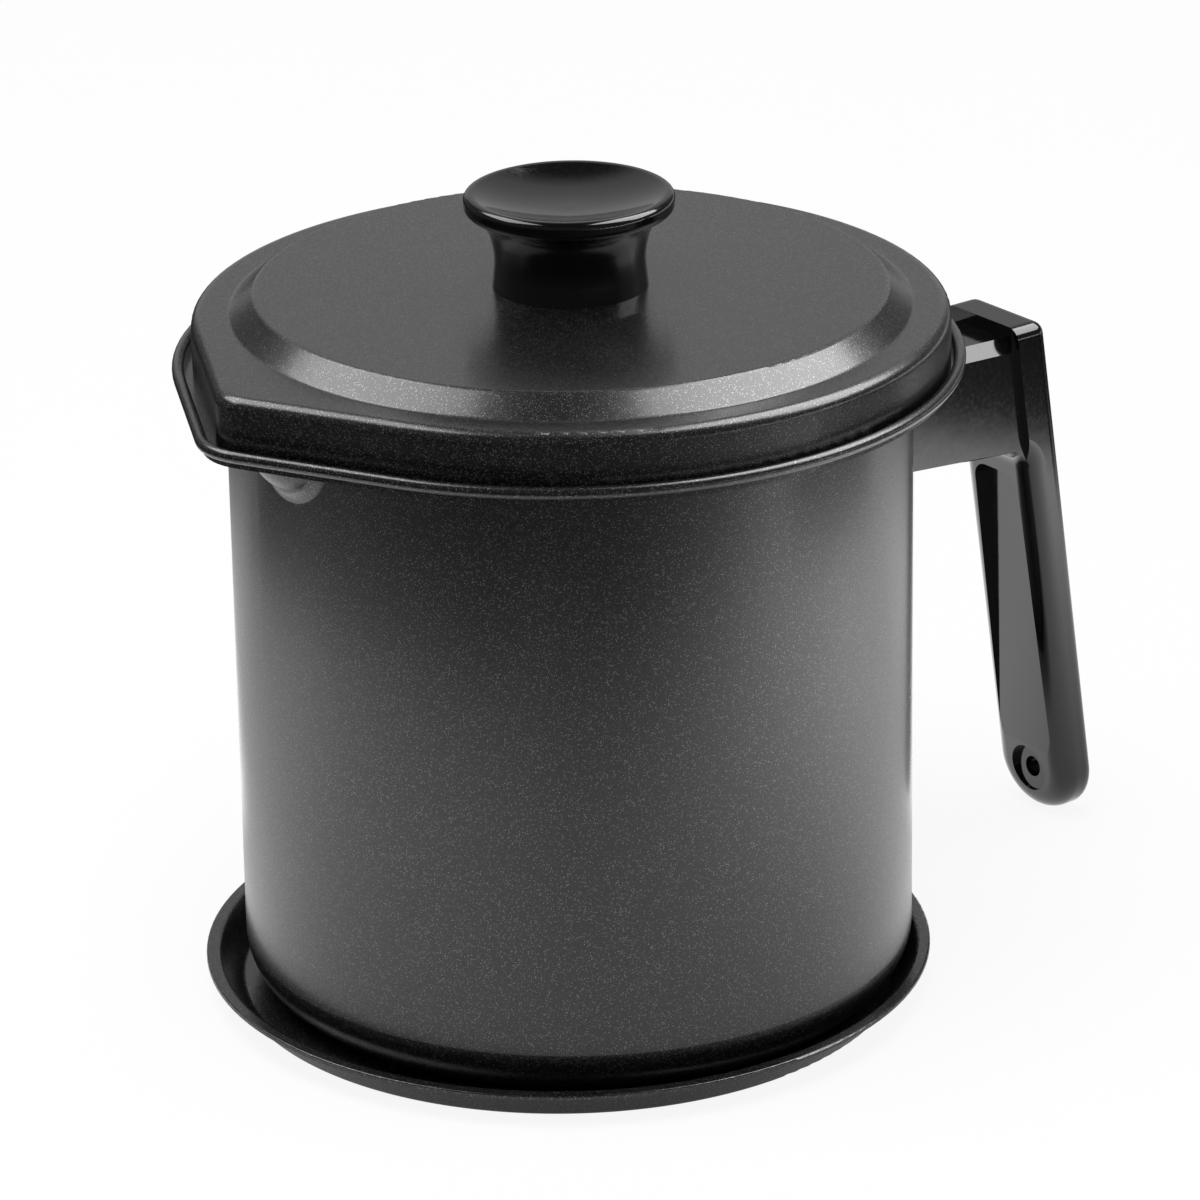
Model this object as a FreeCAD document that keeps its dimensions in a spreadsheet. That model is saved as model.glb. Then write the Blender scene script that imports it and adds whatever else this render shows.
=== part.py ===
import FreeCAD, Part
import math
import os
import Sketcher
from FreeCAD import Rotation, Vector

# A bacon grease container: a drip tray, a pot with a pouring spout and a handle,
# a strainer that hangs in its mouth, and a lid with a knob.
# Z is up from the tray's underside, on the pot's axis. The handle points along +X
# and the spout along -X. All lengths are in millimetres.

SIZES = {
    "sheet_gauge": (0.8, "sheet of the tray, the pot wall and the lid"),
    "tray_room": (9.5, "foot of the tray's sloped wall beyond the pot's flat bottom"),
    "tray_flare": (5.9, "from that foot out to the edge of the tray's lip"),
    "tray_height": (6.6, "top of the tray's lip"),
    "tray_lip": (2.0, "width of the tray's flat lip"),
    "tray_bend": (1.6, "outside bend at the foot of the tray's wall"),
    "tray_inner_bend": (1.0, "inside bend at that foot"),
    "lip_bend": (0.9, "bend on top where the tray's wall turns out into its lip"),
    "lip_inner_bend": (0.4, "bend under that place"),
    "lip_edge": (0.3, "rounding of the lip's outer edge"),
    "tray_shift": (3.0, "how far the loose tray stands towards the spout"),
    "tray_aside": (0.5, "how far the loose tray stands to one side"),
    "pot_radius": (62.5, "outside of the pot's wall"),
    "pot_top": (122.9, "top of the pot's bead above the table"),
    "pot_base_gauge": (1.2, "bottom of the pot"),
    "pot_base_round": (10.0, "outside rounding where the wall meets the bottom"),
    "rim_overhang": (9.5, "from the pot's wall out to the outside of the bead"),
    "bead_width": (2.2, "width and height of the bead"),
    "bead_round": (1.05, "rounding of the bead"),
    "ledge_depth": (2.5, "from the top of the bead down to the ledge"),
    "spout_lead": (7.4, "how far the spout's tip stands beyond the round bead"),
    "spout_round": (12.7, "radius of the spout's tip, outside the bead"),
    "flute_radius": (10.0, "radius of the ball that shapes the flute below the spout"),
    "flute_bulge": (6.3, "how far the flute stands out of the pot's wall at the ledge"),
    "flute_round": (3.0, "rounding where the flute runs into the wall"),
    "lid_gap": (1.0, "between the bead and the lid's skirt"),
    "lid_shift": (0.65, "how far the loose lid lies towards the handle"),
    "lid_skirt": (11.0, "from the ledge up to the lid's flat ring"),
    "lid_shoulder": (2.2, "outside rounding of the lid's edge"),
    "lid_tip_gap": (0.7, "between the bead and the lid's corner at the spout's tip"),
    "lid_round": (8.0, "radius of the lid's corner over the spout"),
    "lid_ring_width": (6.8, "from the lid's skirt in to the foot of its bevel"),
    "bevel_run": (4.6, "width of the lid's bevel"),
    "bevel_rise": (3.8, "height of the lid's bevel"),
    "bevel_round": (1.3, "rounding of the bevel's edges"),
    "knob_radius": (19.1, "outside of the knob"),
    "knob_height": (17.5, "knob above the lid's top"),
    "knob_edge": (3.0, "height of the knob's rolled edge"),
    "knob_neck": (13.6, "radius of the knob's neck"),
    "knob_waist": (5.8, "from the lid up to the narrowest part of that neck"),
    "knob_foot_swell": (0.6, "how much wider the neck is at its foot"),
    "knob_head_swell": (1.4, "how much wider the neck is under the knob's edge"),
    "knob_lip_drop": (2.2, "from the knob's rolled edge down to the top of the neck"),
    "knob_flare": (7.0, "rounding between the neck and the edge"),
    "dish_land": (1.7, "from the knob's outside in to the dish"),
    "dish_depth": (2.9, "depth of that dish"),
    "insert_radius": (3.5, "outside of the threaded insert"),
    "insert_length": (9.0, "length of the threaded insert"),
    "screw_radius": (2.0, "shank of both screws"),
    "screw_point": (0.4, "chamfer at the end of both shanks"),
    "thread_gap": (0.05, "between a screw and its thread"),
    "screw_gap": (0.2, "between a screw and a plain hole"),
    "head_radius": (3.8, "head of both screws"),
    "head_height": (2.4, "height of both heads"),
    "slot_width": (1.1, "width of the slot across a head"),
    "slot_depth": (1.2, "depth of that slot"),
    "washer_radius": (5.4, "outside of the knob's washer"),
    "washer_gauge": (0.8, "thickness of both washers"),
    "knob_screw_grip": (7.0, "length of the knob's screw inside the insert"),
    "strainer_gap": (0.8, "between the strainer and the pot's wall"),
    "strainer_gauge": (0.6, "sheet of the strainer's ring, mesh and band"),
    "strainer_lip_gap": (1.0, "between the strainer's lip and the lid's skirt"),
    "strainer_wall": (9.0, "height of the strainer's ring below the ledge"),
    "strainer_depth": (34.0, "from the ledge down to the mesh floor"),
    "strainer_taper": (20.5, "from the pot's wall in to the edge of the mesh floor"),
    "strainer_round": (16.0, "rounding of the mesh bowl's foot"),
    "band_height": (5.5, "height of the band that clamps the mesh"),
    "loop_wire": (2.0, "wire of the strainer's lift loops"),
    "loop_width": (20.0, "between the centres of a loop's legs"),
    "loop_height": (6.6, "from the strainer's lip to the loop's centre line"),
    "loop_round": (4.0, "bend of a loop's wire"),
    "loop_inset": (2.0, "from the lip's edge in to the loop"),
    "arm_drop": (18.7, "from the top of the bead down to the arm where it meets the ridge"),
    "arm_height": (23.8, "height of the arm"),
    "arm_slope": (0.04, "how far the arm falls for each millimetre out from the pot"),
    "arm_taper": (0.04, "how much taller the arm gets for each millimetre out from the pot"),
    "handle_width": (21.0, "width of the grip"),
    "handle_round": (2.3, "rounding of the handle's other long edges"),
    "arm_inset": (1.6, "how far the arm's sides stand back from the grip's"),
    "arm_bevel": (2.4, "chamfer of the two long edges on top of the arm"),
    "arm_round": (4.0, "rounding under the arm"),
    "arm_reach": (44.0, "from the pot's wall to the grip's outer face at the arm's top"),
    "grip_slope": (0.144, "how far the grip leans out for each millimetre down"),
    "grip_gauge": (8.2, "thickness of the grip"),
    "grip_foot": (0.3, "lower end of the grip above the table"),
    "grip_round": (4.2, "rounding of the edges that face the pot, under the arm and on the grip"),
    "ridge_rise": (2.6, "ridge of the grip above the arm"),
    "ridge_gauge": (7.4, "thickness of that ridge and of the grip beside the arm"),
    "ridge_round": (2.5, "rounding of the two ends of that ridge"),
    "channel_side": (4.2, "from the grip's side in to the hollow of its inner face, at the top"),
    "channel_spread": (1.2, "how much further out each side of the hollow is at its lower end"),
    "channel_skin": (5.1, "wall left behind the hollow at its top"),
    "channel_gap": (5.0, "from the arm's underside to the hollow"),
    "channel_end": (14.6, "lower end of the hollow above the table"),
    "channel_round": (3.5, "rounding of the hollow's upper corners"),
    "hole_radius": (2.1, "hang hole"),
    "hole_rise": (8.9, "from the grip's lower end up to the hang hole"),
    "hole_recess_radius": (4.8, "round recess about the hang hole"),
    "hole_recess_depth": (1.2, "depth of that recess"),
    "plate_width": (13.0, "width of the welded plate inside the arm"),
    "plate_height": (14.0, "height of that plate"),
    "plate_gauge": (1.5, "thickness of that plate at its middle"),
    "plate_round": (1.5, "rounding of that plate's corners"),
    "boss_radius": (4.0, "outside of the threaded boss on the plate"),
    "boss_length": (12.0, "length of that boss"),
    "fit_gap": (0.1, "between the handle and the metal inside it"),
    "counterbore_radius": (4.5, "hole for the screw's head in the grip"),
    "counterbore_depth": (5.4, "depth of that hole at the middle of the arm"),
    "handle_screw_grip": (9.0, "length of the handle's screw inside the boss"),
}

doc = FreeCAD.newDocument("grease_container")
sheet = doc.addObject("Spreadsheet::Sheet", "sizes")
for row, (alias, (number, meaning)) in enumerate(SIZES.items(), start=1):
    sheet.set("A%d" % row, str(number))
    sheet.set("B%d" % row, meaning)
    sheet.setAlias("A%d" % row, alias)
doc.recompute()


class Size:
    """A length with the spreadsheet expression that gives it."""

    def __init__(self, value, text):
        self.value = value
        self.text = text

    def join(self, sign, other, value):
        """Both operands in one expression."""
        return Size(value, "(%s %s %s)" % (self.text, sign, other.text))

    def __add__(self, other):
        other = as_size(other)
        return self.join("+", other, self.value + other.value)

    def __sub__(self, other):
        other = as_size(other)
        return self.join("-", other, self.value - other.value)

    def __mul__(self, other):
        other = as_size(other)
        return self.join("*", other, self.value * other.value)

    def __truediv__(self, other):
        other = as_size(other)
        return self.join("/", other, self.value / other.value)


def as_size(number):
    """A plain number as a Size."""
    return number if isinstance(number, Size) else Size(number, repr(number))


class Sizes:
    """Every cell of the sheet as a Size, read by its alias."""

    def __getattr__(self, alias):
        return Size(float(sheet.get(alias)), "sizes.%s" % alias)


cell = Sizes()
ZERO = as_size(0)
WHOLE_TURN = 360.0
TOLERANCE = 1e-4


def bind(item, **sizes):
    """Bind each named property to its expression."""
    for name, size in sizes.items():
        item.setExpression(name, as_size(size).text)
    return item


def new_body(label):
    """An empty body named after the piece that it makes."""
    body = doc.addObject("PartDesign::Body", label)
    body.Label = label
    return body


def new_sketch(body, name, plane, height=None):
    """A sketch on one of the body's own planes, raised by a height."""
    sketch = body.newObject("Sketcher::SketchObject", "%s_%s" % (body.Name, name))
    origin = [item for item in body.Origin.OriginFeatures if item.Role == plane][0]
    sketch.AttachmentSupport = (origin, "")
    sketch.MapMode = "FlatFace"
    if height is not None:
        sketch.setExpression("AttachmentOffset.Base.z", height.text)
    return sketch


def locate(sketch, geometry, point, across, up):
    """Fix a point of the sketch by its distances from both axes."""
    if across.value == 0:
        sketch.addConstraint(Sketcher.Constraint("PointOnObject", geometry, point, -2))
    else:
        number = sketch.addConstraint(
            Sketcher.Constraint("DistanceX", -1, 1, geometry, point, across.value))
        sketch.setExpression("Constraints[%d]" % number, across.text)
    if up.value == 0:
        sketch.addConstraint(Sketcher.Constraint("PointOnObject", geometry, point, -1))
    else:
        number = sketch.addConstraint(
            Sketcher.Constraint("DistanceY", -1, 1, geometry, point, up.value))
        sketch.setExpression("Constraints[%d]" % number, up.text)


def set_radius(sketch, geometry, radius):
    """Give an arc or circle its radius."""
    number = sketch.addConstraint(Sketcher.Constraint("Radius", geometry, radius.value))
    sketch.setExpression("Constraints[%d]" % number, radius.text)


def draw_circle(sketch, radius, across=ZERO, up=ZERO):
    """A whole circle about the given centre."""
    centre = Vector(across.value, up.value, 0)
    circle = sketch.addGeometry(Part.Circle(centre, Vector(0, 0, 1), radius.value), False)
    locate(sketch, circle, 3, across, up)
    set_radius(sketch, circle, radius)


def draw_corners(sketch, corners, closed=True):
    """An outline through corners, each given as across, up and an optional rounding."""
    corners = [tuple(as_size(size) for size in corner) for corner in corners]
    points = [Vector(corner[0].value, corner[1].value, 0) for corner in corners]
    count = len(corners)
    bends = []
    for number, corner in enumerate(corners):
        inner = closed or 0 < number < count - 1
        if inner and len(corner) > 2 and corner[2].value > 0:
            bends.append(bend_at(points, number, corner[2].value))
        else:
            bends.append(None)
    sides = count if closed else count - 1
    lines = []
    for number in range(sides):
        after = (number + 1) % count
        start = bends[number]["leave"] if bends[number] else points[number]
        end = bends[after]["enter"] if bends[after] else points[after]
        lines.append(sketch.addGeometry(Part.LineSegment(start, end), False))
    for number, corner in enumerate(corners):
        before = lines[number - 1] if closed or number > 0 else None
        after = lines[number] if number < sides else None
        if bends[number]:
            add_bend(sketch, before, after, bends[number], corner)
            continue
        if before is not None and after is not None:
            sketch.addConstraint(Sketcher.Constraint("Coincident", before, 2, after, 1))
        if after is not None:
            locate(sketch, after, 1, corner[0], corner[1])
        else:
            locate(sketch, before, 2, corner[0], corner[1])
    return lines


def bend_at(points, number, radius):
    """Where the rounding of one corner starts, ends and has its centre."""
    corner = points[number]
    back = (points[number - 1] - corner).normalize()
    ahead = (points[(number + 1) % len(points)] - corner).normalize()
    half_angle = back.getAngle(ahead) / 2
    run = radius / math.tan(half_angle)
    middle = (back + ahead).normalize()
    return {
        "enter": corner + back * run,
        "leave": corner + ahead * run,
        "centre": corner + middle * (radius / math.sin(half_angle)),
        "left_turn": (back * -1).cross(ahead).z > 0,
    }


def add_bend(sketch, before, after, bend, corner):
    """Round one corner with an arc that is tangent to both of its lines."""
    centre = bend["centre"]
    first, last = (bend["enter"], bend["leave"])
    if not bend["left_turn"]:
        first, last = last, first
    start = math.atan2(first.y - centre.y, first.x - centre.x)
    end = math.atan2(last.y - centre.y, last.x - centre.x)
    circle = Part.Circle(centre, Vector(0, 0, 1), corner[2].value)
    arc = sketch.addGeometry(Part.ArcOfCircle(circle, start, end), False)
    enter, leave = (1, 2) if bend["left_turn"] else (2, 1)
    mark = sketch.addGeometry(Part.Point(Vector(corner[0].value, corner[1].value, 0)), True)
    sketch.addConstraint(Sketcher.Constraint("Tangent", before, 2, arc, enter))
    sketch.addConstraint(Sketcher.Constraint("Tangent", arc, leave, after, 1))
    sketch.addConstraint(Sketcher.Constraint("PointOnObject", mark, 1, before))
    sketch.addConstraint(Sketcher.Constraint("PointOnObject", mark, 1, after))
    locate(sketch, mark, 1, corner[0], corner[1])
    set_radius(sketch, arc, corner[2])


def draw_spout_outline(sketch, radius, reach, tip):
    """A circle with a rounded corner on -X, whose two straight sides touch the circle."""
    core = radius.value - tip.value
    facing = math.acos(core / reach.value)
    normal = Vector(0, 0, 1)
    touch = Vector(-math.cos(facing), math.sin(facing), 0)
    mirror = Vector(touch.x, -touch.y, 0)
    centre = Vector(-reach.value, 0, 0)
    round_part = sketch.addGeometry(Part.ArcOfCircle(
        Part.Circle(Vector(), normal, radius.value), facing - math.pi, math.pi - facing), False)
    upper = sketch.addGeometry(
        Part.LineSegment(touch * radius.value, centre + touch * tip.value), False)
    corner = sketch.addGeometry(Part.ArcOfCircle(
        Part.Circle(centre, normal, tip.value), math.pi - facing, math.pi + facing), False)
    lower = sketch.addGeometry(
        Part.LineSegment(centre + mirror * tip.value, mirror * radius.value), False)
    sketch.addConstraint(Sketcher.Constraint("Coincident", round_part, 3, -1, 1))
    sketch.addConstraint(Sketcher.Constraint("Tangent", round_part, 2, upper, 1))
    sketch.addConstraint(Sketcher.Constraint("Tangent", upper, 2, corner, 1))
    sketch.addConstraint(Sketcher.Constraint("Tangent", corner, 2, lower, 1))
    sketch.addConstraint(Sketcher.Constraint("Tangent", lower, 2, round_part, 1))
    sketch.addConstraint(Sketcher.Constraint("PointOnObject", corner, 3, -1))
    number = sketch.addConstraint(
        Sketcher.Constraint("DistanceX", corner, 3, -1, 1, reach.value))
    sketch.setExpression("Constraints[%d]" % number, reach.text)
    set_radius(sketch, round_part, radius)
    set_radius(sketch, corner, tip)


def outline_radius(point, reach, core):
    """The radius of the parallel spout outline that a point lies on."""
    across, aside = -point.x, abs(point.y)
    facing = math.acos(core / reach)
    if math.atan2(aside, across) >= facing:
        return math.hypot(across, aside)
    if math.atan2(aside, across - reach) >= facing:
        return across * math.cos(facing) + aside * math.sin(facing)
    return math.hypot(across - reach, aside) + core


def turn(body, name, corners, cut=False):
    """Turn an outline in the XZ plane about the Z axis, as a solid or as a cut."""
    sketch = new_sketch(body, name, "XZ_Plane")
    draw_corners(sketch, corners)
    doc.recompute()
    kind = "PartDesign::Groove" if cut else "PartDesign::Revolution"
    feature = body.newObject(kind, "%s_%s_turned" % (body.Name, name))
    feature.Profile = sketch
    feature.ReferenceAxis = (sketch, ["V_Axis"])
    feature.Angle = WHOLE_TURN
    doc.recompute()
    return feature


def extrude(body, sketch, length, cut=False, back=False, both=False):
    """Pad or pocket a sketch by a length, to its back or to both sides if asked."""
    kind = "PartDesign::Pocket" if cut else "PartDesign::Pad"
    feature = body.newObject(kind, "%s_done" % sketch.Name)
    feature.Profile = sketch
    feature.Reversed = back
    if both:
        feature.SideType = "Symmetric"
    bind(feature, Length=length)
    doc.recompute()
    return feature


def stand_at(body, item, height, across):
    """Put a ready-made form at a height and a distance along X."""
    plane = [part for part in body.Origin.OriginFeatures if part.Role == "XY_Plane"][0]
    item.AttachmentSupport = (plane, "")
    item.MapMode = "FlatFace"
    item.setExpression("AttachmentOffset.Base.z", height.text)
    item.setExpression("AttachmentOffset.Base.x", across.text)


def add_cone(body, name, height, low, high, foot):
    """Add an upright cone from its foot radius to its head radius."""
    cone = body.newObject("PartDesign::AdditiveCone", "%s_%s" % (body.Name, name))
    stand_at(body, cone, foot, ZERO)
    bind(cone, Radius1=low, Radius2=high, Height=height)
    doc.recompute()
    return cone


def add_bowl(body, name, radius, level, across, cut=False):
    """Lower half of a ball that is added to a body or taken from it."""
    kind = "PartDesign::SubtractiveSphere" if cut else "PartDesign::AdditiveSphere"
    bowl = body.newObject(kind, "%s_%s" % (body.Name, name))
    bowl.Angle2 = 0
    stand_at(body, bowl, level, across)
    bind(bowl, Radius=radius)
    doc.recompute()
    return bowl


def edges_where(feature, test):
    """Names of the edges of a feature whose points all pass a test."""
    names = []
    for number, edge in enumerate(feature.Shape.Edges, start=1):
        if not edge.Degenerated and all(test(point) for point in edge.discretize(5)):
            names.append("Edge%d" % number)
    return names


def round_edges(body, feature, name, radius, test):
    """Fillet the edges of a feature that pass a test."""
    names = edges_where(feature, test)
    if not names:
        raise ValueError("no edge to round for %s" % name)
    fillet = body.newObject("PartDesign::Fillet", "%s_%s" % (body.Name, name))
    fillet.Base = (feature, names)
    bind(fillet, Radius=radius)
    doc.recompute()
    return fillet


def bevel_edges(body, feature, name, width, test):
    """Chamfer the edges of a feature that pass a test."""
    names = edges_where(feature, test)
    if not names:
        raise ValueError("no edge to bevel for %s" % name)
    chamfer = body.newObject("PartDesign::Chamfer", "%s_%s" % (body.Name, name))
    chamfer.Base = (feature, names)
    bind(chamfer, Size=width)
    doc.recompute()
    return chamfer


def open_under(body, feature, gauge, level):
    """Leave a sheet of one gauge inside a solid's skin, open at its flat underside."""
    names = []
    for number, face in enumerate(feature.Shape.Faces, start=1):
        if same(face.BoundBox.ZMin, level.value) and same(face.BoundBox.ZMax, level.value):
            names.append("Face%d" % number)
    skin = body.newObject("PartDesign::Thickness", "%s_skin" % body.Name)
    skin.Base = (feature, names)
    skin.Reversed = True
    bind(skin, Value=gauge)
    doc.recompute()
    return skin


def same(first, second):
    """Whether two lengths agree."""
    return abs(first - second) < TOLERANCE


# Heights and radii that several pieces share.
tray_floor = cell.sheet_gauge
tray_base_radius = cell.pot_radius - cell.pot_base_round + cell.tray_room
tray_rim_radius = tray_base_radius + cell.tray_flare
pot_bottom = tray_floor
pot_inside = cell.pot_radius - cell.sheet_gauge
ledge = cell.pot_top - cell.ledge_depth
ledge_under = ledge - cell.sheet_gauge
rim_radius = cell.pot_radius + cell.rim_overhang
well_radius = rim_radius - cell.bead_width
collar_radius = well_radius + cell.sheet_gauge
spout_reach = rim_radius + cell.spout_lead - cell.spout_round
spout_core = rim_radius - cell.spout_round
lid_radius = well_radius - cell.lid_gap
lid_reach = well_radius + cell.spout_lead - cell.lid_tip_gap - cell.lid_round
skirt_inside = lid_radius - cell.sheet_gauge
lid_ring = ledge + cell.lid_skirt
lid_top = lid_ring + cell.bevel_rise
bevel_foot = lid_radius - cell.lid_ring_width
bevel_head = bevel_foot - cell.bevel_run
dish_radius = cell.knob_radius - cell.dish_land
strainer_top = ledge + cell.strainer_gauge
strainer_lip = skirt_inside - cell.strainer_lip_gap
strainer_outside = pot_inside - cell.strainer_gap
strainer_floor = cell.pot_radius - cell.strainer_taper
mesh_outside = strainer_outside - cell.strainer_gauge
band_outside = mesh_outside - cell.strainer_gauge
arm_top = cell.pot_top - cell.arm_drop
arm_bottom = arm_top - cell.arm_height
arm_middle = arm_top - cell.arm_height / 2
grip_reach = cell.pot_radius + cell.arm_reach
plate_face = cell.pot_radius + cell.plate_gauge
boss_end = plate_face + cell.boss_length


def grip_outer(height):
    """Outer face of the grip at a height."""
    return grip_reach + (arm_top - height) * cell.grip_slope


def grip_inner(height):
    """Inner face of the grip at a height."""
    return grip_outer(height) - cell.grip_gauge


def make_tray():
    """Pressed saucer with a sloped wall and a narrow flat lip."""
    body = new_body("drip_tray")
    gauge = cell.sheet_gauge
    lip_inside = tray_rim_radius - cell.tray_lip
    turn(body, "section", [
        (0, 0),
        (tray_base_radius, 0, cell.tray_bend),
        (lip_inside, cell.tray_height - gauge, cell.lip_inner_bend),
        (tray_rim_radius, cell.tray_height - gauge),
        (tray_rim_radius, cell.tray_height, cell.lip_edge),
        (lip_inside - gauge / 2, cell.tray_height, cell.lip_bend),
        (tray_base_radius - gauge, gauge, cell.tray_inner_bend),
        (0, gauge),
    ])
    bind(body, **{"Placement.Base.x": ZERO - cell.tray_shift,
                  "Placement.Base.y": ZERO - cell.tray_aside})
    return body


def make_pot():
    """Drawn pot with a stepped rim, a bead and a V-shaped pouring spout."""
    body = new_body("pot_body")
    gauge = cell.sheet_gauge
    turn(body, "wall", [
        (0, pot_bottom),
        (cell.pot_radius, pot_bottom, cell.pot_base_round),
        (cell.pot_radius, ledge_under),
        (0, ledge_under),
    ])
    flute_across = cell.flute_radius - cell.flute_bulge - cell.pot_radius
    flute = add_bowl(body, "flute", cell.flute_radius, ledge_under, flute_across)
    round_edges(body, flute, "flute_edge", cell.flute_round, lambda point: (
        same(math.hypot(point.x, point.y), cell.pot_radius.value)
        and same(math.dist(point, (flute_across.value, 0, ledge_under.value)),
                 cell.flute_radius.value)))
    bead_foot = cell.pot_top - cell.bead_width
    collar = new_sketch(body, "collar", "XY_Plane", ledge_under)
    draw_spout_outline(collar, collar_radius, spout_reach, collar_radius - spout_core)
    extrude(body, collar, bead_foot - ledge_under + cell.bead_round)
    bead = new_sketch(body, "bead", "XY_Plane", bead_foot)
    draw_spout_outline(bead, rim_radius, spout_reach, cell.spout_round)
    bead_pad = extrude(body, bead, cell.bead_width)
    reach, core = spout_reach.value, spout_core.value
    rounded = round_edges(body, bead_pad, "bead_edge", cell.bead_round, lambda point: (
        same(outline_radius(point, reach, core), rim_radius.value)
        and (same(point.z, cell.pot_top.value) or same(point.z, bead_foot.value))))
    well = new_sketch(body, "well", "XY_Plane", cell.pot_top)
    draw_spout_outline(well, well_radius, spout_reach, well_radius - spout_core)
    well_cut = extrude(body, well, cell.ledge_depth, cut=True)
    round_edges(body, well_cut, "bead_lip", cell.bead_round, lambda point: (
        same(outline_radius(point, reach, core), well_radius.value)
        and same(point.z, cell.pot_top.value)))
    turn(body, "inside", [
        (0, pot_bottom + cell.pot_base_gauge),
        (pot_inside, pot_bottom + cell.pot_base_gauge, cell.pot_base_round - gauge),
        (pot_inside, ledge),
        (0, ledge),
    ], cut=True)
    add_bowl(body, "flute_inside", cell.flute_radius - gauge, ledge, flute_across, cut=True)
    return body


def make_lid():
    """Pressed lid with a raised plateau, a bevel and a skirt with one corner."""
    body = new_body("lid_shell")
    gauge = cell.sheet_gauge
    skirt = new_sketch(body, "skirt", "XY_Plane", ledge)
    draw_spout_outline(skirt, lid_radius, lid_reach, cell.lid_round)
    block = extrude(body, skirt, cell.lid_skirt)
    round_edges(body, block, "shoulder", cell.lid_shoulder,
                lambda point: same(point.z, lid_ring.value))
    bevel = add_cone(body, "bevel", cell.bevel_rise, bevel_foot, bevel_head,
                     lid_ring)
    outside = round_edges(body, bevel, "bevel_edge", cell.bevel_round, lambda point: (
        same(point.z, lid_top.value)
        or (same(point.z, lid_ring.value)
            and same(math.hypot(point.x, point.y), bevel_foot.value))))
    open_under(body, outside, gauge, ledge)
    hole = new_sketch(body, "screw_hole", "XY_Plane", lid_top)
    draw_circle(hole, cell.screw_radius + cell.screw_gap)
    extrude(body, hole, gauge * 2, cut=True)
    return body


def make_knob():
    """Mushroom knob with a waisted neck, a rolled edge and a dished top."""
    body = new_body("knob")
    top = lid_top + cell.knob_height
    dish_bend = dish_radius * dish_radius / (cell.dish_depth * 2) * 0.88
    turn(body, "section", [
        (cell.insert_radius, lid_top),
        (cell.knob_neck + cell.knob_foot_swell, lid_top),
        (cell.knob_neck, lid_top + cell.knob_waist, cell.knob_flare * 2),
        (cell.knob_neck + cell.knob_head_swell, top - cell.knob_edge - cell.knob_lip_drop,
         cell.knob_flare),
        (cell.knob_radius, top - cell.knob_edge, cell.knob_edge * 0.45),
        (cell.knob_radius, top, cell.knob_edge * 0.4),
        (dish_radius, top, cell.knob_edge / 2),
        (dish_radius / 2, top - cell.dish_depth, dish_bend),
        (0, top - cell.dish_depth),
        (0, lid_top + cell.insert_length),
        (cell.insert_radius, lid_top + cell.insert_length),
    ])
    return body


def make_ring(label, inner, outer, foot, height):
    """A plain ring about the Z axis."""
    body = new_body(label)
    turn(body, "section", [
        (inner, foot), (outer, foot), (outer, foot + height), (inner, foot + height)])
    return body


def make_screw(label, grip_end, seat):
    """A slotted pan-head screw along Z, from the end of its shank to under its head."""
    body = new_body(label)
    head_top = seat - cell.head_height
    turn(body, "section", [
        (0, head_top),
        (cell.head_radius, head_top, cell.head_height * 0.4),
        (cell.head_radius, seat),
        (cell.screw_radius, seat),
        (cell.screw_radius, grip_end - cell.screw_point),
        (cell.screw_radius - cell.screw_point, grip_end),
        (0, grip_end),
    ])
    slot = new_sketch(body, "slot", "XY_Plane", head_top)
    half_slot = cell.slot_width / 2
    edge = cell.head_radius + 1
    draw_corners(slot, [
        (ZERO - edge, ZERO - half_slot), (edge, ZERO - half_slot),
        (edge, half_slot), (ZERO - edge, half_slot)])
    extrude(body, slot, cell.slot_depth, cut=True, back=True)
    return body


def make_strainer():
    """Lipped ring, mesh bowl, clamping band and two lift loops."""
    gauge = cell.strainer_gauge
    ring = new_body("strainer_ring")
    turn(ring, "section", [
        (mesh_outside, ledge - cell.strainer_wall),
        (strainer_outside, ledge - cell.strainer_wall),
        (strainer_outside, ledge),
        (strainer_lip, ledge),
        (strainer_lip, strainer_top, gauge / 2),
        (mesh_outside, strainer_top, gauge * 1.4),
    ])
    floor = ledge - cell.strainer_depth
    mesh_top = ledge - gauge
    knee = ledge - cell.strainer_wall
    mesh = new_body("strainer_mesh")
    turn(mesh, "section", [
        (0, floor),
        (strainer_floor, floor, cell.strainer_round),
        (mesh_outside, knee, cell.strainer_round / 4 + gauge),
        (mesh_outside, mesh_top),
        (band_outside, mesh_top),
        (band_outside, knee, cell.strainer_round / 4),
        (strainer_floor - gauge / 2, floor + gauge, cell.strainer_round - gauge),
        (0, floor + gauge),
    ])
    band = make_ring("strainer_band", band_outside - gauge, band_outside,
                     mesh_top - cell.band_height, cell.band_height)
    loops = [make_loop("strainer_loop_left", 1), make_loop("strainer_loop_right", -1)]
    return [ring, mesh, band] + loops


def make_loop(label, side):
    """Bent wire that stands on the strainer's lip, to lift it by."""
    body = new_body(label)
    half = cell.loop_width / 2
    aside = (strainer_lip - cell.loop_inset) * side
    path = new_sketch(body, "path", "XZ_Plane", ZERO - aside)
    top = strainer_top + cell.loop_height
    lines = draw_corners(path, [
        (ZERO - half, strainer_top),
        (ZERO - half, top, cell.loop_round),
        (half, top, cell.loop_round),
        (half, strainer_top),
    ], closed=False)
    wire = new_sketch(body, "wire", "XY_Plane", strainer_top)
    draw_circle(wire, cell.loop_wire / 2, ZERO - half, aside)
    doc.recompute()
    pipe = body.newObject("PartDesign::AdditivePipe", "%s_pipe" % label)
    pipe.Profile = wire
    bends = 2
    pipe.Spine = (path, ["Edge%d" % number for number in range(1, len(lines) + bends + 1)])
    doc.recompute()
    return body


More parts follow.
